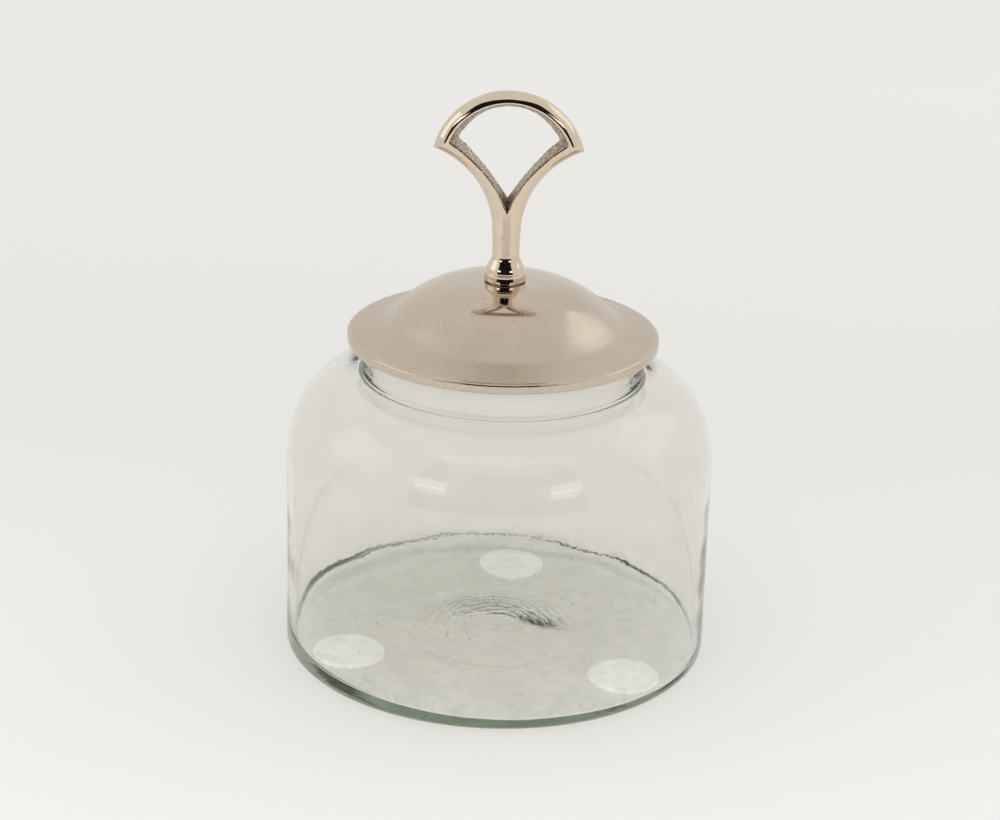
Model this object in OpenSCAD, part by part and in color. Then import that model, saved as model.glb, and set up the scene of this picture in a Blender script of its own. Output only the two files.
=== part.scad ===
// Lidded glass canister: a blown glass jar on three stick-on pads, closed by a
// spun metal lid whose cast fan-shaped handle is screwed on through the dome.
// Millimetres, +Z up. The origin is on the table under the jar's centre.

/* [Jar] */
// Outer radius of the jar's straight wall
jar_r = 90.1; // [86:0.1:94]
// Height of the straight wall above the jar's underside
wall_h = 85; // [70:1:92]
// Height of the shoulder's top above the jar's underside
shoulder_h = 123; // [116:1:124]
// Height of the lip above the jar's underside
jar_h = 137.3; // [134:0.1:142]
// Outer radius of the neck
neck_r = 59.2; // [57:0.1:61]
// Thickness of the side wall
wall_t = 3; // [2:0.5:4]
// Thickness of the neck's wall
neck_t = 4.2; // [3:0.1:4.4]
// Thickness of the floor
floor_t = 7; // [4:0.5:8]
// Radius of the rounded bottom corner
corner_r = 4; // [2:0.5:6]
// Height of the pushed-up middle of the floor
kick_h = 4; // [2:0.5:8]
// Radius of the pushed-up middle of the floor
kick_r = 38; // [30:1:42]

/* [Pads] */
// Radius of one round pad
pad_r = 15; // [10:0.5:16]
// Thickness of a pad
pad_h = 1.5; // [1:0.1:3]
// Distance of the pads from the jar's axis
pad_ring_r = 67; // [60:0.5:67]
// Direction of the first pad, in degrees from +X
pad_angle = 84; // [0:1:119]

/* [Lid] */
// Radius of the lid's lower edge
lid_r = 65; // [64:0.1:67]
// Height of the turned-down edge band
band_h = 3.9; // [3.2:0.1:5]
// Radius of the band's rounded top corner
band_round = 1; // [0.4:0.1:1.2]
// Thickness of the lid's sheet metal
sheet_t = 1.3; // [0.8:0.1:1.6]
// Height of the dome above the brim
dome_h = 18.2; // [14:0.1:22]
// Radius of the dome where it meets the brim
dome_r = 48.5; // [46:0.1:54]
// Fullness of the dome, where 2 is a parabola and more is flatter on top
dome_power = 3.4; // [2:0.1:5]
// Softness of the fillet between dome and brim
blend = 3; // [1:0.5:5]
// Rise of the brim from its edge to the dome
brim_rise = 4; // [0.5:0.1:5]

/* [Handle] */
// Radius of the round foot
foot_r = 8.7; // [7.5:0.1:10]
// Height of the foot's straight rim
foot_h = 3.9; // [2:0.1:6]
// Height of the bell between the foot and the stem
bell_h = 7; // [6:0.1:11]
// Radius of the stem above the bell
waist_r = 5.65; // [4.8:0.05:6]
// Radius of the stem where the fan starts
stem_r = 5.9; // [5:0.1:7]
// Height of the fan's start above the dome
stem_h = 20.7; // [18:0.1:28]
// Radius of the fan's top arch
arch_r = 31.5; // [28:0.5:34]
// Height of the arch's centre above the fan's start
arch_rise = 27.8; // [25:0.1:29]
// Radius of the fan's hollow sides
side_r = 37.2; // [34:0.1:38]
// Thickness of the arch at its top
arch_t = 6.4; // [5:0.1:8]
// Radius of the opening under the arch
gap_r = 21.8; // [20:0.1:25]
// Height of the opening's lower corner above the fan's start
gap_low = 14.7; // [13:0.1:17]
// Radius of the opening's slightly curved sides
gap_side_r = 150; // [100:1:200]
// Steepness of those sides at the lower corner, in degrees
gap_lean = 57.2; // [55:0.1:60]
// Radius of the screw's thread
screw_r = 2.5; // [2:0.1:2.6]

/* [Hidden] */

$fn = 96;
eps = 0.01;

// Heights above the table
jar_z = pad_h;
lip_z = jar_z + jar_h;
seal_t = 1.2;
plate_t = 0.8;
plate_z = lip_z + seal_t;
under_z = plate_z + plate_t;
rim_z = under_z + 0.8;
seat_r = foot_r + 0.5;
edge_r = lid_r - band_round;
seat_z = rim_z + dome(seat_r);
stem_z = seat_z + stem_h;
arch_z = stem_z + arch_rise;

// Radii inside the mouth
mouth_r = neck_r - neck_t;
seal_out_r = mouth_r - 0.4;
seal_in_r = seal_out_r - 2.6;
ring_r = seal_in_r - 0.3;
ring_t = 1;
skirt_h = 12.5;
collar_h = skirt_h + 1.5;

// Fasteners under the dome
hole_r = screw_r + 0.2;
washer_r = 7;
washer_t = 1;
lock_r = 4.6;
lock_t = 1.3;
lock_gap = 1.2;
head_r = 4.8;
head_h = 3.3;
slot_w = 1.2;
slot_h = 1.6;
grip = 12;
washer_z = seat_z - sheet_t - washer_t;
lock_z = washer_z - lock_t;

// Fan: the side circles touch the stem where the fan starts
side_x = side_r + stem_r;
fan_d = 2 * stem_r;

glass = [0.80, 0.86, 0.82, 0.4];
vinyl = [0.92, 0.92, 0.91, 0.8];
nickel = [0.80, 0.74, 0.66];
steel = [0.62, 0.62, 0.62];

// Points of an elliptical arc from angle a to angle b
function arc(r, z, rx, rz, a, b, n = 14) =
    [for (i = [0:n]) let (t = a + (b - a) * i / n) [r + rx * cos(t), z + rz * sin(t)]];

// Smooth step from 1 at s = 0 to 0 at s = 1
function ease(s) = 0.5 + 0.5 * cos(180 * s);

// Height of the pushed-up floor at radius r
function kick(r) = kick_h * ease(r / kick_r);

// Points of the floor's surface whose flat part is at height z
function floor_line(z, n = 16) = [for (i = [0:n]) let (r = kick_r * i / n) [r, z + kick(r)]];

// Top surface of the lid at radius r, above the edge band's top
function dome(r) =
    let (fall = dome_h * (1 - pow(max(r, seat_r) / dome_r, dome_power)))
    (fall + sqrt(fall * fall + blend * blend)) / 2
    + brim_rise * min(1, (edge_r - r) / (edge_r - dome_r));

// Radii at which the lid's section has a point
lid_steps = [for (i = [0:31]) seat_r + (edge_r - seat_r) * i / 32];

function reverse(list) = [for (i = [len(list) - 1:-1:0]) list[i]];

module ring(r_out, r_in, h) {
    difference() {
        cylinder(r = r_out, h = h);
        translate([0, 0, -1]) cylinder(r = r_in, h = h + 2);
    }
}

module jar() {
    top_r = neck_t / 2;
    fillet = 3;
    heel_r = 3;
    root_r = neck_r + fillet;
    outer = concat(
        floor_line(0),
        arc(jar_r - corner_r, corner_r, corner_r, corner_r, -90, 0, 8),
        arc(root_r, wall_h, jar_r - root_r, shoulder_h - wall_h, 0, 90, 24),
        arc(root_r, shoulder_h + fillet, fillet, fillet, 270, 180, 6),
        arc(neck_r - top_r, jar_h - top_r, top_r, top_r, 0, 180, 12));
    in_r = jar_r - wall_t;
    inner = concat(
        arc(mouth_r + fillet, shoulder_h, fillet, fillet, 180, 270, 6),
        arc(mouth_r + fillet, wall_h, in_r - mouth_r - fillet, shoulder_h - fillet - wall_h, 90, 0, 24),
        arc(in_r - heel_r, floor_t + heel_r, heel_r, heel_r, 0, -90, 10),
        reverse(floor_line(floor_t)));
    color(glass) translate([0, 0, jar_z]) rotate_extrude() polygon(concat(outer, inner));
}

module base_pad(i) {
    color(vinyl) rotate([0, 0, pad_angle + 120 * i]) translate([pad_ring_r, 0, 0])
        cylinder(r = pad_r, h = pad_h);
}

// Clear plastic ring that seats on the lip and lines the mouth
module seal_ring() {
    color(vinyl) {
        translate([0, 0, lip_z]) ring(neck_r - 0.6, seal_in_r, seal_t);
        translate([0, 0, lip_z - skirt_h]) ring(seal_out_r, seal_in_r, skirt_h + eps);
    }
}

// Metal ring under the brim that centres the lid in the mouth
module locating_collar() {
    color(nickel) {
        translate([0, 0, plate_z]) ring(edge_r - 0.6, ring_r - ring_t, plate_t);
        translate([0, 0, plate_z - collar_h]) ring(ring_r, ring_r - ring_t, collar_h + eps);
    }
}

// Spun from one sheet: a dome, a sloping brim and a turned-down edge band
module lid_shell() {
    in_r = lid_r - 1.2;
    top = concat([[0, seat_z]],
                 [for (r = lid_steps) [r, rim_z + dome(r)]],
                 arc(edge_r, rim_z - band_round, band_round, band_round, 90, 0, 6),
                 [[lid_r, rim_z - band_h], [in_r, rim_z - band_h], [in_r, under_z]]);
    under = concat([for (r = reverse(lid_steps)) [r, max(under_z, rim_z + dome(r) - sheet_t)]],
                   [[0, seat_z - sheet_t]]);
    color(nickel) difference() {
        rotate_extrude() polygon(concat(top, under));
        translate([0, 0, seat_z - 5]) cylinder(r = hole_r, h = 10);
    }
}

// One casting: a round foot with a bell, the stem and the open fan
module fan_handle() {
    bell_r = foot_r - 0.4;
    bell = [for (i = [0:16]) let (s = i / 16)
            [waist_r + (bell_r - waist_r) * ease(s), foot_h + bell_h * s]];
    profile = concat([[0, 0], [foot_r, 0], [foot_r, foot_h]], bell, [[stem_r, stem_h], [0, stem_h]]);
    color(nickel) difference() {
        union() {
            translate([0, 0, seat_z]) rotate_extrude() polygon(profile);
            rotate([90, 0, 0]) linear_extrude(height = fan_d, center = true) fan_outline();
        }
        translate([0, 0, seat_z - 1]) cylinder(r = screw_r, h = grip + 1);
    }
}

module fan_outline() {
    difference() {
        translate([0, arch_z]) circle(r = arch_r);
        fan_sides();
        translate([-arch_r, stem_z - 2 * arch_r]) square([2 * arch_r, 2 * arch_r]);
        difference() {
            translate([0, arch_z + arch_r - arch_t - gap_r]) circle(r = gap_r);
            gap_sides();
        }
    }
}

module fan_sides() {
    for (s = [-1, 1]) translate([s * side_x, stem_z]) circle(r = side_r, $fn = 160);
}

// Circles that bound the opening from below and cross at its lower corner
module gap_sides() {
    low = stem_z + gap_low - gap_side_r * cos(gap_lean);
    for (s = [-1, 1]) translate([s * gap_side_r * sin(gap_lean), low]) circle(r = gap_side_r, $fn = 400);
}

// Slotted screw that comes up through the dome into the handle's foot
module handle_screw() {
    head_z = lock_z - head_h;
    color(steel) translate([0, 0, head_z]) difference() {
        union() {
            cylinder(r = head_r, h = head_h);
            cylinder(r = screw_r, h = seat_z + grip - 0.5 - head_z);
        }
        translate([-head_r - 1, -slot_w / 2, -1]) cube([2 * head_r + 2, slot_w, slot_h + 1]);
    }
}

module flat_washer() {
    color(steel) translate([0, 0, washer_z]) ring(washer_r, hole_r, washer_t);
}

module lock_washer() {
    color(steel) difference() {
        translate([0, 0, lock_z]) ring(lock_r, hole_r, lock_t);
        translate([0, -lock_gap / 2, lock_z - 1]) cube([lock_r + 1, lock_gap, lock_t + 2]);
    }
}

jar();
base_pad(0);  // base_pad_1
base_pad(1);  // base_pad_2
base_pad(2);  // base_pad_3
seal_ring();
locating_collar();
lid_shell();
fan_handle();
handle_screw();
flat_washer();
lock_washer();
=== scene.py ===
"""Looks of the lidded glass canister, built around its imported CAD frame.

Lengths are in millimetres until a mesh is made.
"""
import math
import random

import bmesh
import bpy
from mathutils import Matrix, Vector, noise


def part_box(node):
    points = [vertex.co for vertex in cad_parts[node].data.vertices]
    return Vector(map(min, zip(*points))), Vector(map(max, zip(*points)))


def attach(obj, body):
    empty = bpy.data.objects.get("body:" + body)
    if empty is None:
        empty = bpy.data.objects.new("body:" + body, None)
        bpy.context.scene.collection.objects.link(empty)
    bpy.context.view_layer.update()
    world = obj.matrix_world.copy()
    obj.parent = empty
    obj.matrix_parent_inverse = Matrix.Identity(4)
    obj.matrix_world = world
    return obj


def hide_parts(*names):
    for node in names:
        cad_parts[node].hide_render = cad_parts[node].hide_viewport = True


MM = 0.001
TURN = 2 * math.pi
UP = Vector((0, 0, 1))
ON_AXIS = 1e-6

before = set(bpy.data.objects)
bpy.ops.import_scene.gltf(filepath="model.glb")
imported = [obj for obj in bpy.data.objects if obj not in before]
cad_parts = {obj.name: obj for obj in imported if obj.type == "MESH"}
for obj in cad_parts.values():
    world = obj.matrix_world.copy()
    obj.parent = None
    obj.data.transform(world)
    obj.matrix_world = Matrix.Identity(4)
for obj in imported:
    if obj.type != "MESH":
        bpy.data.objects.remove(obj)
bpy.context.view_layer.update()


# Shapes

def corners(node):
    """Lowest and highest corner of a CAD node, in millimetres."""
    low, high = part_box(node)
    return low / MM, high / MM


def arc(r, z, rx, rz, start, end, steps):
    """Points of an elliptical arc about (r, z), from angle start to angle end in degrees."""
    turns = [math.radians(start + (end - start) * i / steps) for i in range(steps + 1)]
    return [(r + rx * math.cos(t), z + rz * math.sin(t)) for t in turns]


def span(start, end, steps):
    """Evenly spaced values from start to end."""
    return [start + (end - start) * i / steps for i in range(steps + 1)]


def smooth(value, low, high):
    """0 below low, 1 above high, and a smooth step between."""
    t = min(1, max(0, (value - low) / (high - low)))
    return t * t * (3 - 2 * t)


def rounded(points, radius, steps=4):
    """A closed outline with each corner cut back by radius and rounded."""
    result = []
    for i, corner in enumerate(points):
        corner = Vector(corner)
        sides = [Vector(points[i - 1]) - corner, Vector(points[(i + 1) % len(points)]) - corner]
        start, end = [corner + side.normalized() * min(radius, side.length * 0.45) for side in sides]
        result += [tuple(bezier(start, corner, end, k / steps)) for k in range(steps + 1)]
    return result


def bezier(a, b, c, t):
    """A point of the quadratic curve from a to c that b pulls."""
    return a.lerp(b, t).lerp(b.lerp(c, t), t)


def grid_faces(bm, rows, material=0, closed=False):
    """Joins rows of vertices into quads, with triangles where a row is one vertex."""
    for low, high in zip(rows, rows[1:]):
        count = max(len(low), len(high))
        for i in range(count if closed else count - 1):
            j = (i + 1) % count
            ring = [low[i % len(low)], low[j % len(low)], high[j % len(high)], high[i % len(high)]]
            ring = list(dict.fromkeys(ring))
            if len(ring) > 2:
                bm.faces.new(ring).material_index = material


def lathe(profile, steps, shape=None, loop=False):
    """Turns an (r, z) profile about the axis.

    shape(r, z, angle) may move each point. A loop has no ends.
    """
    bm = bmesh.new()
    rows = []
    for r, z in profile:
        if r < ON_AXIS:
            rows.append([bm.verts.new((0, 0, shape(0, z, 0)[1] if shape else z))])
            continue
        row = []
        for i in range(steps):
            angle = TURN * i / steps
            moved = shape(r, z, angle) if shape else (r, z)
            row.append(bm.verts.new((moved[0] * math.cos(angle), moved[0] * math.sin(angle), moved[1])))
        rows.append(row)
    if loop:
        rows.append(rows[0])
    grid_faces(bm, rows, closed=True)
    bmesh.ops.recalc_face_normals(bm, faces=bm.faces)
    return bm


def piece(name, bm, body, replaced, materials, crease=40):
    """Makes an object of a bmesh in millimetres, and ties it to the frame."""
    bmesh.ops.scale(bm, vec=(MM, MM, MM), verts=bm.verts)
    mesh = bpy.data.meshes.new(name)
    bm.to_mesh(mesh)
    bm.free()
    mesh.polygons.foreach_set("use_smooth", [True] * len(mesh.polygons))
    mesh.set_sharp_from_angle(angle=math.radians(crease))
    for material in materials:
        mesh.materials.append(material)
    made = bpy.data.objects.new(name, mesh)
    bpy.context.scene.collection.objects.link(made)
    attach(made, body)
    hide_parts(*replaced)


# Materials

def new_material(name, **values):
    """A Principled material. values are its constant sockets, with _ for a space."""
    material = bpy.data.materials.new(name)
    material.use_nodes = True
    shader = material.node_tree.nodes["Principled BSDF"]
    for socket, value in values.items():
        shader.inputs[socket.replace("_", " ")].default_value = value
    return material, material.node_tree, shader


def add(tree, kind, values=None, **settings):
    """A node with its settings; values fill its sockets, with constants or other nodes' outputs."""
    made = tree.nodes.new("ShaderNode" + kind)
    for setting, value in settings.items():
        setattr(made, setting, value)
    for socket, value in (values or {}).items():
        if isinstance(value, bpy.types.NodeSocket):
            tree.links.new(value, made.inputs[socket])
        else:
            made.inputs[socket].default_value = value
    return made


def place(tree, scale=(1, 1, 1)):
    """Object coordinates, stretched by scale."""
    where = add(tree, "TexCoord").outputs["Object"]
    return add(tree, "Mapping", {"Vector": where, "Scale": scale}).outputs["Vector"]


def grain(tree, size_mm, detail=2, where=None, distortion=0):
    """Noise whose features are about size_mm across."""
    values = {"Scale": 1 / (size_mm * MM), "Detail": detail, "Distortion": distortion}
    values["Vector"] = where or place(tree)
    return add(tree, "TexNoise", values).outputs["Fac"]


def spread(tree, value, low, high, start=0.3, end=0.7):
    """Maps value from start..end to low..high."""
    values = {"Value": value, "From Min": start, "From Max": end, "To Min": low, "To Max": high}
    return add(tree, "MapRange", values).outputs["Result"]


def colours(tree, factor, first, second):
    """Mixes two colours, each a constant or another node's output, by factor."""
    mix = add(tree, "Mix", data_type="RGBA")
    tree.links.new(factor, mix.inputs["Factor"])
    for socket, colour in ((mix.inputs[6], first), (mix.inputs[7], second)):
        if isinstance(colour, bpy.types.NodeSocket):
            tree.links.new(colour, socket)
        else:
            socket.default_value = (*colour, 1)
    return mix.outputs[2]


def bumps(tree, shader, *layers):
    """Stacks bump layers of (height, depth in millimetres, strength) on the shader."""
    normal = None
    for height, depth_mm, strength in layers:
        values = {"Height": height, "Distance": depth_mm * MM, "Strength": strength}
        if normal:
            values["Normal"] = normal
        normal = add(tree, "Bump", values).outputs["Normal"]
    tree.links.new(normal, shader.inputs["Normal"])


def maths(tree, operation, first, second=0.0):
    return add(tree, "Math", {0: first, 1: second}, operation=operation).outputs["Value"]


def coat(tree, shader, colour, roughness):
    """Links the shader's colour and its roughness."""
    tree.links.new(colour, shader.inputs["Base Color"])
    tree.links.new(roughness, shader.inputs["Roughness"])


def let_through(tree, shader, factor, colour):
    """Makes the surface clear, tinted by colour, for the rays where factor is 1."""
    clear = add(tree, "BsdfTransparent", {"Color": colour})
    mix = add(tree, "MixShader", {0: factor, 1: shader.outputs["BSDF"], 2: clear.outputs["BSDF"]})
    tree.links.new(mix.outputs["Shader"], tree.nodes["Material Output"].inputs["Surface"])


# The floor carries stains and painted shade and light up to the first height, and they fade out by the
# second
DIRT_AND_SHADE_FULL = 13
DIRT_AND_SHADE_END = 19


def jar_glass():
    """Hand-blown soda-lime glass: faint waves and cords, cloudy walls, a floor with stains and painted
    shade and light, green where deep.

    Shadow and diffuse rays pass straight through, so that the light inside the glass stays clean.
    """
    material, tree, shader = new_material("blown_glass", Transmission_Weight=1.0, IOR=1.5, Roughness=0.0)
    clouds = grain(tree, 14, detail=6, distortion=0.6)
    cloudy = spread(tree, clouds, 0, 1, 0.35, 0.75)
    wall = colours(tree, cloudy, (0.966, 0.950, 0.924), (0.940, 0.922, 0.890))
    # The floor's darker streaks and lighter patches are partly stains and partly painted shade and painted
    # light, standing in for reflections and shadow in the thick floor.
    dirt_and_shade_streaks = spread(tree, grain(tree, 7, detail=7, distortion=1.2), 0, 1, 0.50, 0.72)
    patches = spread(tree, grain(tree, 26, detail=5, distortion=0.8), 0, 1, 0.42, 0.62)
    floor_light_and_dirt = colours(tree, patches, (1.0, 0.996, 0.984), (0.945, 0.945, 0.935))
    bottom = colours(tree, dirt_and_shade_streaks, floor_light_and_dirt, (0.83, 0.835, 0.82))
    height = add(tree, "SeparateXYZ", {"Vector": place(tree)}).outputs["Z"]
    tint = colours(tree, spread(tree, height, 1, 0, DIRT_AND_SHADE_FULL * MM, DIRT_AND_SHADE_END * MM), wall, bottom)
    tree.links.new(tint, shader.inputs["Base Color"])
    cords = grain(tree, 34, detail=1, where=place(tree, (1, 1, 0.35)))
    seeds = grain(tree, 2.2, detail=2)
    bumps(tree, shader, (cords, 0.7, 0.25), (seeds, 0.05, 0.25))
    depth = add(tree, "VolumeAbsorption", {"Color": (0.60, 0.662, 0.575, 1), "Density": 20.0})
    tree.links.new(depth.outputs["Volume"], tree.nodes["Material Output"].inputs["Volume"])
    path = add(tree, "LightPath")
    through = maths(tree, "MAXIMUM", path.outputs["Is Shadow Ray"], path.outputs["Is Diffuse Ray"])
    let_through(tree, shader, through, (0.975, 0.972, 0.962, 1))
    return material


# Radii between which the lid's finish changes
SATIN_FROM, SATIN_FULL = 31, 40
BRIM_FROM, BRIM_FULL = 45, 52
BAND_FROM, BAND_FULL = 62.8, 63.8


def lid_nickel():
    """Spun nickel sheet: polished round the handle and on the edge band, satin between, with a few pits."""
    material, tree, shader = new_material("spun_nickel", Metallic=1.0)
    where = place(tree)
    split = add(tree, "SeparateXYZ", {"Vector": where})
    across = add(tree, "CombineXYZ", {"X": split.outputs["X"], "Y": split.outputs["Y"]})
    radius = add(tree, "VectorMath", {0: across.outputs["Vector"]}, operation="LENGTH").outputs["Value"]
    turned = add(tree, "TexNoise", {"W": radius, "Scale": 2600.0, "Detail": 3.0}, noise_dimensions="1D")
    rings = turned.outputs["Fac"]
    weave = grain(tree, 0.55, detail=2)
    blotches = grain(tree, 18, detail=4)
    holes = add(tree, "TexVoronoi", {"Vector": where, "Scale": 95.0, "Randomness": 1.0})
    pit = spread(tree, holes.outputs["Distance"], 1, 0, 0.035, 0.05)
    warm = colours(tree, spread(tree, blotches, 0, 1), (0.625, 0.530, 0.430), (0.690, 0.600, 0.500))
    fine = colours(tree, spread(tree, weave, 0, 0.7, 0.35, 0.65), warm, (0.50, 0.42, 0.335))
    speckled = colours(tree, maths(tree, "MULTIPLY", pit, 0.7), fine, (0.10, 0.085, 0.07))
    satin = spread(tree, radius, 0.04, 0.24, SATIN_FROM * MM, SATIN_FULL * MM)
    brim = spread(tree, radius, 0.0, 0.12, BRIM_FROM * MM, BRIM_FULL * MM)
    uneven = spread(tree, blotches, 0.0, 0.04)
    band = spread(tree, radius, 0.0, -0.28, BAND_FROM * MM, BAND_FULL * MM)
    dull = maths(tree, "ADD", maths(tree, "ADD", satin, brim), maths(tree, "ADD", band, uneven))
    coat(tree, shader, speckled, dull)
    pitted = maths(tree, "SUBTRACT", 1.0, pit)
    bumps(tree, shader, (rings, 0.010, 0.35), (weave, 0.016, 0.6), (pitted, 0.15, 0.6))
    return material


# The stem's pitted strip, darkened as a painted reflection: its half width, where it fades out, and its
# ends above the handle's underside
STRIP_HALF = 1.3
STRIP_EDGE = 2.0
STRIP_LOW = 9
STRIP_HIGH = 27


def cast_nickel():
    """The handle's polished outside: bright and slightly uneven, with a pitted strip up the stem whose
    darker, duller colour is a painted reflection.
    """
    material, tree, shader = new_material("polished_nickel", Metallic=1.0)
    where = place(tree)
    split = add(tree, "SeparateXYZ", {"Vector": where})
    height = split.outputs["Z"]
    aside = maths(tree, "ABSOLUTE", split.outputs["X"])
    strip = spread(tree, aside, 1, 0, STRIP_HALF * MM, STRIP_EDGE * MM)
    low, _ = corners("fan_handle")
    stem_low = (low.z + STRIP_LOW) * MM
    stem_high = (low.z + STRIP_HIGH) * MM
    on_stem = maths(tree, "MULTIPLY", spread(tree, height, 0, 1, stem_low - 0.002, stem_low),
                    spread(tree, height, 1, 0, stem_high, stem_high + 0.004))
    holes = add(tree, "TexVoronoi", {"Vector": where, "Scale": 900.0, "Randomness": 1.0})
    hole = spread(tree, holes.outputs["Distance"], 1, 0, 0.16, 0.24)
    patches = spread(tree, grain(tree, 3.5, detail=2), 0, 1, 0.42, 0.55)
    worn = maths(tree, "MULTIPLY", strip, on_stem)
    pit = maths(tree, "MULTIPLY", hole, maths(tree, "MULTIPLY", patches, worn))
    tone = grain(tree, 6, detail=3)
    bright = colours(tree, spread(tree, tone, 0, 1), (0.70, 0.585, 0.455), (0.74, 0.63, 0.505))
    # The strip's darker colour is a painted reflection; its pits are the casting's own.
    reflection_darkened = colours(tree, maths(tree, "MULTIPLY", worn, 0.8), bright, (0.56, 0.45, 0.35))
    pitted = colours(tree, maths(tree, "MULTIPLY", pit, 0.85), reflection_darkened, (0.09, 0.06, 0.04))
    coat(tree, shader, pitted, spread(tree, grain(tree, 2.5, detail=4), 0.035, 0.09))
    swells = grain(tree, 5, detail=1)
    bumps(tree, shader, (swells, 0.10, 0.25), (maths(tree, "SUBTRACT", 1.0, pit), 0.12, 0.6))
    return material


def rough_nickel():
    """The handle's inner bevels: left as they came from the mould, grainy and duller in the hollows."""
    material, tree, shader = new_material("as_cast_nickel", Metallic=1.0)
    sand = grain(tree, 0.55, detail=4)
    lumps = grain(tree, 1.6, detail=3)
    tone = colours(tree, spread(tree, sand, 0, 1, 0.38, 0.6), (0.22, 0.16, 0.11), (0.68, 0.58, 0.46))
    coat(tree, shader, tone, spread(tree, lumps, 0.22, 0.42))
    bumps(tree, shader, (lumps, 0.35, 0.6), (sand, 0.22, 0.8))
    return material


def band_nickel():
    """The collar's nickel: satin, with turning lines."""
    material, tree, shader = new_material("collar_nickel", Metallic=1.0)
    lines = grain(tree, 0.4, detail=3, where=place(tree, (0.05, 0.05, 1)))
    tone = colours(tree, spread(tree, lines, 0, 1), (0.58, 0.50, 0.41), (0.68, 0.60, 0.50))
    coat(tree, shader, tone, spread(tree, grain(tree, 4), 0.16, 0.28))
    bumps(tree, shader, (lines, 0.02, 0.5))
    return material


def milky_plastic():
    """The seal: soft white plastic that has turned cloudy. A faint painted glow, standing in for light,
    keeps it white in the neck.
    """
    # The emission is a painted glow that stands in for light reaching the seal.
    material, tree, shader = new_material(
        "milky_seal", IOR=1.46, Transmission_Weight=0.1, Subsurface_Weight=0.3, Subsurface_Scale=0.004,
        Emission_Color=(1.0, 0.98, 0.95, 1), Emission_Strength=0.10)
    haze = grain(tree, 7, detail=4)
    tone = colours(tree, spread(tree, haze, 0, 1), (0.93, 0.92, 0.90), (0.98, 0.975, 0.96))
    coat(tree, shader, tone, spread(tree, grain(tree, 1.5), 0.35, 0.5))
    bumps(tree, shader, (haze, 0.2, 0.3))
    return material


def pad_plastic():
    """A stick-on pad: frosted white with a faint painted glow that stands in for light it catches under the
    glass, mottled where the glue has let go.
    """
    material, tree, shader = new_material(
        "frosted_pad", IOR=1.45, Subsurface_Weight=0.15, Subsurface_Scale=0.002, Emission_Strength=0.27)
    mottle = grain(tree, 3.2, detail=7)
    speckle = grain(tree, 0.5, detail=2)
    base = colours(tree, spread(tree, mottle, 0, 1, 0.35, 0.68), (0.87, 0.88, 0.89), (1.0, 1.0, 1.0))
    frosted = colours(tree, spread(tree, speckle, 0, 0.45), base, (0.80, 0.83, 0.84))
    # The emission is a painted glow: it makes the pads brighter, as light caught under the glass would.
    tree.links.new(frosted, shader.inputs["Emission Color"])
    coat(tree, shader, frosted, spread(tree, mottle, 0.45, 0.65))
    bumps(tree, shader, (speckle, 0.06, 0.5), (mottle, 0.15, 0.3))
    return material


def plated_steel():
    """Screw and washers: plain plated steel."""
    material, tree, shader = new_material("plated_steel", Metallic=1.0)
    stain = grain(tree, 2, detail=5)
    tone = colours(tree, spread(tree, stain, 0, 1), (0.50, 0.50, 0.51), (0.62, 0.61, 0.60))
    coat(tree, shader, tone, spread(tree, stain, 0.22, 0.4))
    bumps(tree, shader, (grain(tree, 0.3, detail=3), 0.01, 0.5))
    return material


def paper_white():
    """The studio floor: matt paper, with painted light that makes it paler in front of the jar and far
    behind it.
    """
    material, tree, shader = new_material("studio_floor", Specular_IOR_Level=0.0, Roughness=0.9)
    drift = grain(tree, 400, detail=1)
    depth = add(tree, "SeparateXYZ", {"Vector": place(tree)}).outputs["Y"]
    # Painted light: the paper is made paler towards the front and far behind, standing in for light that
    # falls there.
    front = spread(tree, depth, 1, 0, -0.15, 0.22)
    back = spread(tree, depth, 0, 0.9, 0.35, 1.0)
    middle = colours(tree, drift, (0.846, 0.842, 0.826), (0.856, 0.852, 0.836))
    paper = colours(tree, maths(tree, "ADD", front, back), middle, (0.930, 0.926, 0.912))
    tree.links.new(paper, shader.inputs["Base Color"])
    return material


def unlit_room_sheet():
    """A near-black sheet for the metal to mirror, standing for the unlit side of the room. Light that has
    been inside the glass passes it.
    """
    material, tree, shader = new_material("unlit_room_sheet", Specular_IOR_Level=0.0, Roughness=1.0)
    sheet_tone = colours(tree, grain(tree, 60), (0.010, 0.008, 0.008), (0.022, 0.016, 0.014))
    tree.links.new(sheet_tone, shader.inputs["Base Color"])
    path = add(tree, "LightPath")
    inside = maths(tree, "GREATER_THAN", path.outputs["Transmission Depth"], 0.5)
    let_through(tree, shader, inside, (1, 1, 1, 1))
    return material


# Jar

JAR_STEPS = 288
WALL_T = 3.0
NECK_R = 59.2
NECK_T = 4.2
WALL_H = 85.0
SHOULDER_H = 123.0
CORNER_R = 4.0
ROOT_R = 2.0
HEEL_R = 2.0
FLOOR_T = 7.0
KICK_H = 4.0
KICK_R = 38.0
FLOOR_LEAN = 3.6
LEAN_TOWARDS = math.radians(122)
LEAN_R = 87
SCAR = Vector((17, -7))


def kick(r):
    """How far the middle of the floor is pushed up."""
    return KICK_H * (0.5 + 0.5 * math.cos(math.pi * min(1, r / KICK_R)))


def floor_lean(r, angle):
    """How far the floor stands above its mean: it is thicker at the back left, and waves at the wall."""
    lean = FLOOR_LEAN * math.cos(angle - LEAN_TOWARDS) * r / LEAN_R
    ripple = 0.4 * noise.noise(Vector((1.6 * math.cos(angle), 1.6 * math.sin(angle), 3.0)))
    kinks = 0.16 * noise.noise(Vector((5 * math.cos(angle), 5 * math.sin(angle), 9.0)))
    return lean + (ripple + kinks) * smooth(r, 60, 86)


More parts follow.
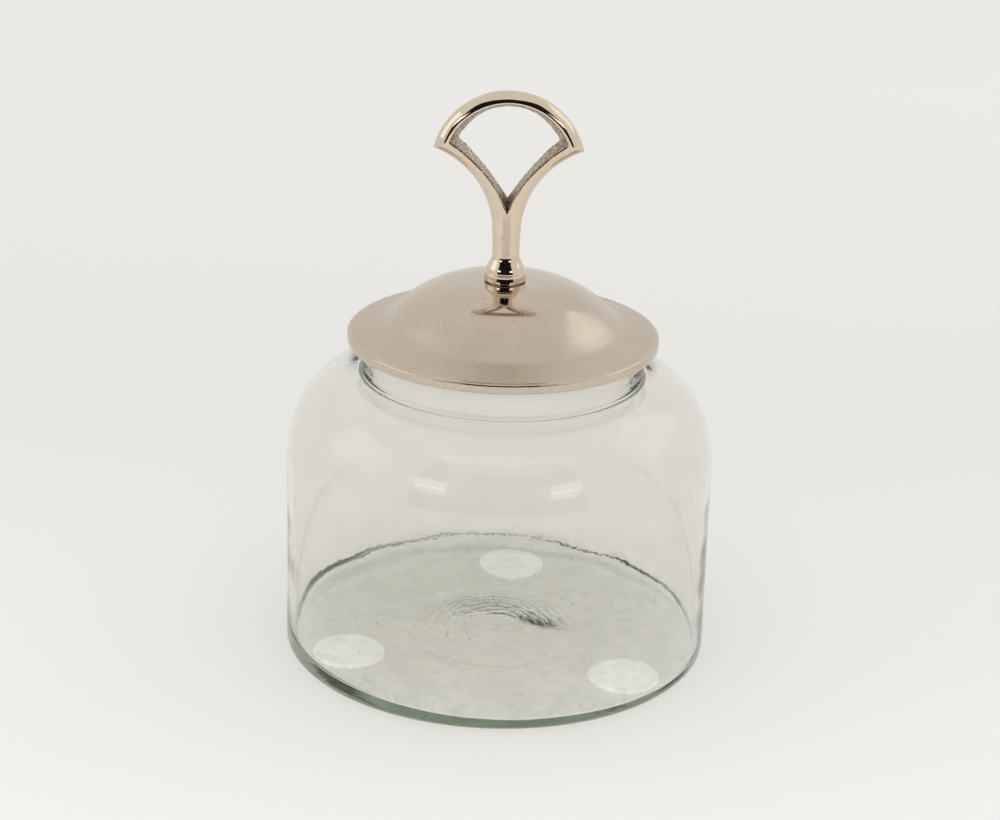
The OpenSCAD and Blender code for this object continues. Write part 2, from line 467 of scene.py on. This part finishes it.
def floor_ripple(r, angle):
    """Tool marks on the floor: a spiral from the pontil, a crinkled scar beside it and slow waves."""
    x, y = r * math.cos(angle), r * math.sin(angle)
    bend = 1.6 * noise.noise(Vector((x / 16, y / 16, 1.0)))
    spiral = math.sin(TURN * (r / 4.6 - angle / TURN + bend)) * smooth(r, 3, 10) * (1 - smooth(r, 26, 46))
    off = Vector(((x - SCAR.x) / 10, (y - SCAR.y) / 6))
    scar = math.exp(-off.length_squared)
    coarse = noise.noise(Vector((x / 2.4, y / 1.1, 5.0)))
    fine = noise.noise(Vector((x / 1.1, y / 0.7, 8.0)))
    crinkle = coarse + 0.5 * fine
    slow = noise.noise(Vector((x / 15, y / 15, 2.0)))
    return 0.04 * spiral + scar * (0.06 * crinkle - 0.8) + 0.15 * slow * smooth(r, 2, 12)


def jar_shape(inside, r, z, angle, base):
    """Moves a point (r, z) of the jar's section, as blown glass varies. base is the underside's height."""
    c, s = math.cos(angle), math.sin(angle)
    height = z - base
    side = 11.0 if inside else 0.0
    wave = noise.noise(Vector((1.4 * c, 1.4 * s, height / 55 + side)))
    ring = noise.noise(Vector((0.5 * c, 0.5 * s, height / 9 + side)))
    amount = 0.25 if inside else 0.2
    on_wall = smooth(height, 6, 25) * smooth(r, 50, 60)
    if inside:
        r_new = r + (amount * wave + 0.04 * ring) * on_wall
    else:
        r_new = r - (amount * (1 + wave) + 0.04 * (1 + ring)) * on_wall
    if inside:
        z += floor_lean(r, angle) * (1 - smooth(height, 18, 42))
        if height < 20 and r < 60:
            z += floor_ripple(r, angle) * (1 - smooth(r, 48, 60))
    elif height < 12 and r < 60:
        z += 0.3 * abs(floor_ripple(r, angle + 1.2)) * (1 - smooth(r, 48, 60))
    return r_new, z


def jar_outline(jar_r, height):
    """The jar's section: its outside from the axis to the lip, and its inside from the lip to the axis."""
    lip_r = NECK_T / 2
    root = NECK_R + ROOT_R
    outer = [(r, kick(r)) for r in span(0, KICK_R, 54)]
    outer += [(r, 0) for r in span(KICK_R, jar_r - CORNER_R, 20)[1:-1]]
    outer += arc(jar_r - CORNER_R, CORNER_R, CORNER_R, CORNER_R, -90, 0, 10)
    outer += [(jar_r, z) for z in span(CORNER_R, WALL_H, 30)[1:-1]]
    outer += arc(root, WALL_H, jar_r - root, SHOULDER_H - WALL_H, 0, 90, 40)
    outer += arc(root, SHOULDER_H + ROOT_R, ROOT_R, ROOT_R, 270, 180, 12)
    outer += arc(NECK_R - lip_r, height - lip_r, lip_r, lip_r, 0, 180, 14)
    inner_r = jar_r - WALL_T
    in_root = NECK_R - NECK_T + ROOT_R
    under_shoulder = SHOULDER_H - WALL_T
    heel_r = inner_r - HEEL_R
    heel_z = FLOOR_T + HEEL_R
    inner = arc(in_root, under_shoulder + ROOT_R, ROOT_R, ROOT_R, 180, 270, 12)
    inner = inner[:-1] + arc(in_root, WALL_H, inner_r - in_root, under_shoulder - WALL_H, 90, 0, 40)
    inner += [(inner_r, z) for z in span(WALL_H, heel_z, 36)[1:-1]]
    inner += arc(heel_r, heel_z, HEEL_R, HEEL_R, 0, -90, 8)
    inner += [(r, FLOOR_T) for r in span(heel_r, KICK_R, 40)[1:-1]]
    inner += [(r, FLOOR_T + kick(r)) for r in span(KICK_R, 0, 110)]
    return outer, inner


def blown_jar():
    low, high = corners("jar")
    base = low.z
    jar_r = high.x
    outer, inner = jar_outline(jar_r, high.z - base)
    bm = bmesh.new()
    rows = []
    for index, (r, z) in enumerate(outer + inner):
        inside = index >= len(outer)
        steps = 1 if r < ON_AXIS else JAR_STEPS
        row = []
        for i in range(steps):
            angle = TURN * i / JAR_STEPS
            r_new, z_new = jar_shape(inside, r, base + z, angle, base)
            row.append(bm.verts.new((r_new * math.cos(angle), r_new * math.sin(angle), z_new)))
        rows.append(row)
    grid_faces(bm, rows, closed=True)
    bmesh.ops.recalc_face_normals(bm, faces=bm.faces)
    add_seeds(bm, base, jar_r)
    piece("blown_jar", bm, "jar", ["jar"], [jar_glass()])


def add_seeds(bm, base, jar_r):
    """Small air bubbles in the floor and the thick heel. Their faces look inward, as a void's do."""
    dice = random.Random(7)
    for _ in range(26):
        angle = dice.uniform(0, TURN)
        r = dice.choice((dice.uniform(20, 70), dice.uniform(76, jar_r - 5)))
        size = dice.uniform(0.22, 0.55)
        centre = Vector((r * math.cos(angle), r * math.sin(angle), base + kick(r) + dice.uniform(2.0, 4.2)))
        spot = Matrix.Translation(centre)
        made = bmesh.ops.create_icosphere(bm, subdivisions=2, radius=size, matrix=spot)
        faces = {face for vert in made["verts"] for face in vert.link_faces}
        bmesh.ops.reverse_faces(bm, faces=list(faces))


def soft_pad(index):
    """One stick-on pad with a rounded edge that has worn out of round."""
    name = f"base_pad_{index}"
    low, high = corners(name)
    centre = (low + high) / 2
    radius = (high.x - low.x) / 2
    flat = high.z - low.z
    section = [(0, 0), (radius - 0.5, 0)]
    section += arc(radius - 0.5, 0.5, 0.5, 0.5, -90, 0, 4)[1:]
    section += arc(radius - 0.5, flat - 0.5, 0.5, 0.5, 0, 90, 4)
    section += [(radius * share, flat) for share in (0.8, 0.5, 0.2)] + [(0, flat)]

    def worn(r, z, angle):
        edge = 0.25 * noise.noise(Vector((1.5 * math.cos(angle), 1.5 * math.sin(angle), index * 5.0)))
        return r - (0.25 + edge) * smooth(r, 6, radius), z

    bm = lathe(section, 96, worn)
    bmesh.ops.scale(bm, vec=(1, 1, 0.96), verts=bm.verts)
    bmesh.ops.translate(bm, vec=(centre.x, centre.y, low.z + 0.02 * flat), verts=bm.verts)
    piece(f"pad_{index}", bm, "jar", [name], [PAD_PLASTIC])


# Seal and lid

RING_STEPS = 192
SEAL_IN_R = 52.0
SKIRT_R = 54.6
SEAL_T = 1.2
COLLAR_R = 51.7
COLLAR_T = 1.0
PLATE_T = 0.8


def flanged(low, high, inner, ring, plate):
    """Section of a ring that goes down inside another and has a flange at its top."""
    skirt = [(inner, low.z), (ring, low.z), (ring, plate)]
    return skirt + [(high.x, plate), (high.x, high.z), (inner, high.z)]


def moulded_seal():
    """The seal: a flange on the jar's lip, with a skirt down the mouth."""
    low, high = corners("seal_ring")
    outline = flanged(low, high, SEAL_IN_R, SKIRT_R, high.z - SEAL_T)

    def uneven(r, z, angle):
        wave = noise.noise(Vector((3 * math.cos(angle), 3 * math.sin(angle), z / 6)))
        return r - 0.05 * (1 + wave), z

    bm = lathe(rounded(outline, 0.5), RING_STEPS, uneven, loop=True)
    piece("moulded_seal", bm, "seal", ["seal_ring"], [milky_plastic()])


def turned_collar():
    """The metal ring under the lid that centres it in the seal."""
    low, high = corners("locating_collar")
    outline = flanged(low, high, COLLAR_R - COLLAR_T, COLLAR_R, high.z - PLATE_T)
    bm = lathe(rounded(outline, 0.3, 3), RING_STEPS, loop=True)
    piece("turned_collar", bm, "lid", ["locating_collar"], [band_nickel()])


SHEET_T = 1.3
DOME_H = 18.2
DOME_R = 48.5
DOME_POWER = 3.4
DOME_BLEND = 3.0
BRIM_RISE = 4.0
SEAT_R = 9.2
BAND_H = 3.9
BAND_ROUND = 1.0
HOLE_R = 2.7


def spun_lid():
    """The lid: a dome, a brim and a turned-down edge band, with the slight facets that hand work leaves."""
    low, high = corners("lid_shell")
    lid_r = high.x
    edge_r = lid_r - BAND_ROUND
    rim_z = low.z + BAND_H

    def dome(r):
        fall = DOME_H * (1 - (max(r, SEAT_R) / DOME_R) ** DOME_POWER)
        brim = BRIM_RISE * min(1, (edge_r - r) / (edge_r - DOME_R))
        return (fall + math.hypot(fall, DOME_BLEND)) / 2 + brim

    top = [(r, rim_z + dome(r)) for r in span(HOLE_R, edge_r - 0.4, 130)]
    top += arc(edge_r, rim_z - BAND_ROUND, BAND_ROUND, BAND_ROUND, 82, 0, 8)
    top += [(lid_r, z) for z in span(rim_z - BAND_ROUND, low.z + 0.3, 6)[1:]]
    turned = [(lid_r - 0.15, low.z + 0.06), (lid_r - 0.4, low.z), (lid_r - 0.9, low.z)]
    turned += [(lid_r - 1.2, low.z + 0.3), (lid_r - 1.2, rim_z - 1.1), (lid_r - 1.5, rim_z - 0.8)]
    under = [(r, max(rim_z - 0.8, rim_z + dome(r) - SHEET_T)) for r in span(edge_r - 2, HOLE_R, 60)]

    def hammered(r, z, angle):
        c, s = math.cos(angle), math.sin(angle)
        ripple = noise.noise(Vector((5 * c, 5 * s, 1.0))) + 0.5 * noise.noise(Vector((16 * c, 16 * s, 4.0)))
        slow = noise.noise(Vector((r * c / 26, r * s / 26, 0.0)))
        edge = smooth(r, lid_r - 2, lid_r)
        return r - 0.06 * (1 + ripple) * edge, z + 0.05 * slow * (1 - edge)

    bm = lathe(top + turned + under, 256, hammered, loop=True)
    piece("spun_lid", bm, "lid", ["lid_shell"], [lid_nickel()], crease=50)


# Handle: every section is drawn in the plane of the fan, as (x, height above the dome)

FOOT_H = 3.9
BELL_H = 7.3
WAIST_R = 5.65
STEM_H = 20.7
STEM_R = 5.9
SIDE_R = 37.2
ARCH_RISE = 27.8
ARCH_R = 31.5
ARCH_T = 6.4
GAP_R = 21.8
GAP_LOW = 14.7
GAP_SIDE_R = 150.0
GAP_LEAN = math.radians(57.2)
SIDE = Vector((SIDE_R + STEM_R, STEM_H))
ARCH = Vector((0, STEM_H + ARCH_RISE))
GAP = Vector((0, ARCH.y + ARCH_R - ARCH_T - GAP_R))
GAP_SIDE = Vector((GAP_SIDE_R * math.sin(GAP_LEAN), STEM_H + GAP_LOW - GAP_SIDE_R * math.cos(GAP_LEAN)))
FORK = math.radians(11.5)
RIDGE_CORNER = math.radians(64)
RIDGE_NEAREST = math.radians(47)
RIDGE_IN = 5.2
RIDGE_TOP_IN = 4.5
CORNER_BLEND = 3.2
CURVE_STEPS = 12
BEVEL_STEPS = 9
ROUND_START = 0.84
RIDGE_ROUND = 0.6


def about(centre, radius, angle):
    return centre + radius * Vector((math.cos(angle), math.sin(angle)))


def on_side(radius, angle):
    """A point at radius from the right side circle's centre, angle above the line to the stem."""
    return about(SIDE, radius, math.pi - angle)


def meeting(centre_a, radius_a, centre_b, radius_b):
    """The upper of the two points where two circles meet."""
    gap = centre_b - centre_a
    along = (gap.length_squared + radius_a ** 2 - radius_b ** 2) / (2 * gap.length)
    rise = math.sqrt(radius_a ** 2 - along ** 2)
    unit = gap.normalized()
    points = [centre_a + unit * along + Vector((-unit.y, unit.x)) * rise * sign for sign in (1, -1)]
    return max(points, key=lambda point: point.y)


def angle_on(centre, point):
    """The direction from a circle's centre to a point."""
    return math.atan2(point.y - centre.y, point.x - centre.x)


def ridge_radius(angle):
    """The ridge's radius from the side circle's centre: it runs nearest to the outline high on each arm."""
    if angle < RIDGE_NEAREST:
        return SIDE_R + RIDGE_IN + 1.6 * ((RIDGE_NEAREST - angle) / (RIDGE_NEAREST - FORK)) ** 1.5
    return SIDE_R + RIDGE_IN + 0.9 * ((angle - RIDGE_NEAREST) / (RIDGE_CORNER - RIDGE_NEAREST)) ** 2


def quarter(outline, ridge, depth, share):
    """A point of the polished quarter-ellipse from the outline, in the mid-plane, to the ridge in front."""
    turn = share * math.pi / 2
    flat = outline.lerp(ridge, 1 - math.cos(turn))
    return Vector((flat.x, -depth * math.sin(turn), flat.y))


def section(outline, ridge, inner, depth, rounding):
    """The polished side and the bevel of one section, in front of the mid-plane.

    rounding, from 0 to 1, softens the ridge between them. Without inner there is no bevel.
    """
    polished = [quarter(outline, ridge, depth, share) for share in span(0, ROUND_START, CURVE_STEPS)]
    last = polished[-1]
    polished += [quarter(outline, ridge, depth, (1 + ROUND_START) / 2), quarter(outline, ridge, depth, 1)]
    if inner is None:
        return polished, []
    crest = polished[-1]
    foot = Vector((inner.x, 0, inner.y))
    first = crest.lerp(foot, RIDGE_ROUND / (foot - crest).length)
    soft = [bezier(last, crest, first, t) for t in (0.25, 0.5, 0.75)]
    polished[-2] = polished[-2].lerp(soft[0], rounding)
    polished[-1] = crest.lerp(soft[1], rounding)
    bevel = [polished[-1].copy(), crest.lerp(first, 0.5).lerp(soft[2], rounding)]
    bevel += [first.lerp(foot, k / BEVEL_STEPS) for k in range(BEVEL_STEPS + 1)]
    return polished, bevel


def stem_profile():
    """(radius, height) from the middle of the foot's underside to the fan's start."""
    foot_r = corners("fan_handle")[1].y
    neck_h = STEM_H - FOOT_H - BELL_H
    points = [(0, 0), (foot_r * 0.5, 0), (foot_r - 1.4, 0), (foot_r - 1.4, 0.45), (foot_r - 0.6, 0.5)]
    points += arc(foot_r - 0.3, 0.8, 0.3, 0.3, -80, 0, 4)
    points += [(foot_r, z) for z in span(0.8, FOOT_H - 0.45, 4)[1:]]
    points += arc(foot_r - 0.45, FOOT_H - 0.45, 0.45, 0.45, 15, 90, 5)
    points += [(foot_r - 0.62, FOOT_H - 0.08), (foot_r - 0.70, FOOT_H + 0.1)]
    bell_r = foot_r - 0.55
    for share in span(0.04, 1, 22):
        r = WAIST_R + (bell_r - WAIST_R) * (0.5 + 0.5 * math.cos(math.pi * share ** 1.08))
        points.append((r, FOOT_H + BELL_H * share))
    for share in span(0, 1, 10)[1:]:
        r = WAIST_R + (STEM_R - WAIST_R) * smooth(share, 0.2, 1.25)
        points.append((r, FOOT_H + BELL_H + neck_h * share))
    return points


def handle_sections():
    """Sections of the right half: foot and stem, arm, and arch up to its top."""
    tip = meeting(SIDE, SIDE_R, ARCH, ARCH_R)
    inner_corner = meeting(GAP_SIDE, GAP_SIDE_R, GAP, GAP_R)
    ridge_corner = on_side(ridge_radius(RIDGE_CORNER), RIDGE_CORNER)
    tip_angle = math.pi - angle_on(SIDE, tip)
    inner_start = angle_on(GAP_SIDE, Vector((0, STEM_H + GAP_LOW)))
    inner_end = angle_on(GAP_SIDE, inner_corner)
    solid = [(Vector((r, z)), Vector((0, z)), r) for r, z in stem_profile()]
    for angle in span(0, FORK, 14)[1:-1]:
        solid.append((on_side(SIDE_R, angle), Vector((0, STEM_H + SIDE.x * math.tan(angle))), STEM_R))
    open_fan = []
    for share in span(0, 1, 90):
        outline = on_side(SIDE_R, FORK + (tip_angle - FORK) * share)
        ridge_angle = FORK + (RIDGE_CORNER - FORK) * share
        ridge = on_side(ridge_radius(ridge_angle), ridge_angle)
        if share == 0:
            ridge.x = 0
        inner = about(GAP_SIDE, GAP_SIDE_R, inner_start + (inner_end - inner_start) * share)
        if share == 0:
            inner.x = 0
        open_fan.append((outline, ridge, inner, STEM_R - 0.5 * smooth(share, 0, 1), smooth(share, 0, 0.12)))
    ridge_start = (ridge_corner - ARCH).length

    def toward_top(centre, start, share):
        """The angle from start to straight up, as share goes from 0 to 1."""
        angle = angle_on(centre, start)
        return angle + (math.pi / 2 - angle) * share

    for share in span(0, 1, 80)[1:]:
        ridge_r = ridge_start + (ARCH_R - RIDGE_TOP_IN - ridge_start) * share
        outline = about(ARCH, ARCH_R, toward_top(ARCH, tip, share))
        ridge = about(ARCH, ridge_r, toward_top(ARCH, ridge_corner, share))
        inner = about(GAP, GAP_R, toward_top(GAP, inner_corner, share))
        if share == 1:
            outline.x = ridge.x = inner.x = 0
        open_fan.append((outline, ridge, inner, STEM_R - 0.5, 1.0))
    return solid, open_fan, inner_corner


def cast_handle():
    """The handle, made of one quarter and its three mirror images, with the unevenness of a casting."""
    low, _ = corners("fan_handle")
    solid, open_fan, inner_corner = handle_sections()
    polished_rows = [section(outline, ridge, None, depth, 0)[0] for outline, ridge, depth in solid]
    bevel_rows = []
    for outline, ridge, inner, depth, rounding in open_fan:
        polished, bevel = section(outline, ridge, inner, depth, rounding)
        polished_rows.append(polished)
        bevel_rows.append(bevel)
    bm = bmesh.new()
    for x_sign in (1, -1):
        for y_sign in (1, -1):
            for rows, material in ((polished_rows, 0), (bevel_rows, 1)):
                made = []
                for row in rows:
                    made.append([])
                    for k, point in enumerate(row):
                        co = Vector((x_sign * point.x, y_sign * point.y, point.z))
                        co += 0.10 * noise.noise_vector(co / 7) * smooth(co.z, 4, 12)
                        if material and k > 0:
                            co += 0.16 * noise.noise_vector(co / 1.1) + 0.08 * noise.noise_vector(co / 0.5)
                        made[-1].append(bm.verts.new(co + low.z * UP))
                grid_faces(bm, made, material)
    bmesh.ops.remove_doubles(bm, verts=bm.verts, dist=0.02)
    soften = []
    for vert in bm.verts:
        flat = Vector((abs(vert.co.x), vert.co.z - low.z))
        if (flat - inner_corner).length < CORNER_BLEND:
            soften.append(vert)
    for _ in range(8):
        bmesh.ops.smooth_vert(
            bm, verts=soften, factor=0.5, use_axis_x=True, use_axis_y=True, use_axis_z=True)
    bmesh.ops.dissolve_degenerate(bm, dist=0.001, edges=bm.edges)
    bmesh.ops.recalc_face_normals(bm, faces=bm.faces)
    materials = [cast_nickel(), rough_nickel()]
    piece("cast_handle", bm, "lid", ["fan_handle"], materials, crease=38)


def round_washer():
    low, high = corners("flat_washer")
    outline = [(HOLE_R, low.z), (high.x, low.z), (high.x, high.z), (HOLE_R, high.z)]
    bm = lathe(rounded(outline, 0.25, 3), 96, loop=True)
    piece("round_washer", bm, "lid", ["flat_washer"], [STEEL])


def finish_cad_node(name, material, edge_mm):
    """Gives a CAD node its material and slightly broken edges."""
    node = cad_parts[name]
    node.data.materials.clear()
    node.data.materials.append(material)
    bevel = node.modifiers.new("broken_edges", "BEVEL")
    bevel.width = edge_mm * MM
    bevel.segments = 2
    bevel.limit_method = "ANGLE"
    bevel.angle_limit = math.radians(40)


# Studio

def aim(made, target):
    """Turns a light towards a point."""
    made.rotation_euler = (Vector(target) - made.location).to_track_quat("-Z", "Y").to_euler()


def softbox(name, location, target, width, height, power):
    light = bpy.data.lights.new(name, "AREA")
    light.shape = "RECTANGLE"
    light.size = width
    light.size_y = height
    light.energy = power
    made = bpy.data.objects.new(name, light)
    made.location = location
    bpy.context.scene.collection.objects.link(made)
    aim(made, target)
    return made


def studio():
    """Bright air all round, soft lights for the metal and the glass to mirror, a floor and a dark side."""
    world = bpy.data.worlds.new("studio_air")
    bpy.context.scene.world = world
    world.use_nodes = True
    background = world.node_tree.nodes["Background"]
    background.inputs["Color"].default_value = (1.0, 0.992, 0.972, 1)
    background.inputs["Strength"].default_value = 0.83
    softbox("right_softbox", (1.12, 0.50, 0.95), (0, 0, 0.10), 1.1, 0.8, 1.0)
    softbox("left_softbox", (-1.25, -0.05, 0.75), (0, 0, 0.10), 0.9, 0.7, 1.0)
    for side in (-1, 1):
        softbox(f"front_strip_{side + 2}", (side * 0.865, -1.148, 0.68), (0, 0, 0.10), 0.45, 0.24, 0.7)
    overhead = softbox("front_overhead", (0.0, -0.9, 1.9), (0, -0.2, 0.0), 1.6, 0.9, 4.0)
    overhead.visible_glossy = False
    floor_sheet()
    dark_card()


def stage_mesh(name, verts, faces, material):
    """A mesh in metres that belongs to the studio and not to the object."""
    mesh = bpy.data.meshes.new(name)
    mesh.from_pydata(verts, [], faces)
    mesh.materials.append(material)
    made = bpy.data.objects.new(name, mesh)
    bpy.context.scene.collection.objects.link(made)
    return made


def floor_sheet():
    half = 6.0
    steps = 12
    verts = [(x, y, 0) for y in span(-half, half, steps) for x in span(-half, half, steps)]
    row = steps + 1
    starts = [j * row + i for j in range(steps) for i in range(steps)]
    faces = [(start, start + 1, start + row + 1, start + row) for start in starts]
    stage_mesh("studio_floor", verts, faces, paper_white())


def dark_card():
    """The dark side of the room behind the camera, which the metal and the glass mirror."""
    distance = 1.75
    half_turn = math.radians(46)
    bottom, top = 0.02, 2.4
    turns = span(-half_turn, half_turn, 24)
    verts = [
        (distance * math.sin(t), -distance * math.cos(t), z) for t in turns for z in (bottom, top)]
    faces = [(2 * i, 2 * i + 2, 2 * i + 3, 2 * i + 1) for i in range(len(turns) - 1)]
    card = stage_mesh("dark_side", verts, faces, unlit_room_sheet())
    card.visible_camera = False
    card.visible_transmission = False
    card.visible_diffuse = False
    card.visible_shadow = False


def camera():
    """The camera looks along +Y and 21 degrees down, and leans a little to one side."""
    data = bpy.data.cameras.new("camera")
    data.sensor_fit = "HORIZONTAL"
    data.sensor_width = 36.0
    data.lens = 93.54
    made = bpy.data.objects.new("camera", data)
    bpy.context.scene.collection.objects.link(made)
    down = math.radians(21.075)
    lean = math.radians(1.731)
    turn = Matrix.Rotation(math.pi / 2 - down, 4, "X") @ Matrix.Rotation(lean, 4, "Z")
    made.matrix_world = Matrix.Translation((-0.0004, -1.0215, 0.4998)) @ turn
    bpy.context.scene.camera = made


PAD_PLASTIC = pad_plastic()
STEEL = plated_steel()

camera()
studio()
bpy.context.scene.view_settings.view_transform = "Standard"
bpy.context.scene.cycles.max_bounces = 24
bpy.context.scene.cycles.transmission_bounces = 24
bpy.context.scene.cycles.glossy_bounces = 8

blown_jar()
for pad_index in (1, 2, 3):
    soft_pad(pad_index)
moulded_seal()
turned_collar()
spun_lid()
cast_handle()
round_washer()
finish_cad_node("handle_screw", STEEL, 0.3)
finish_cad_node("lock_washer", STEEL, 0.15)
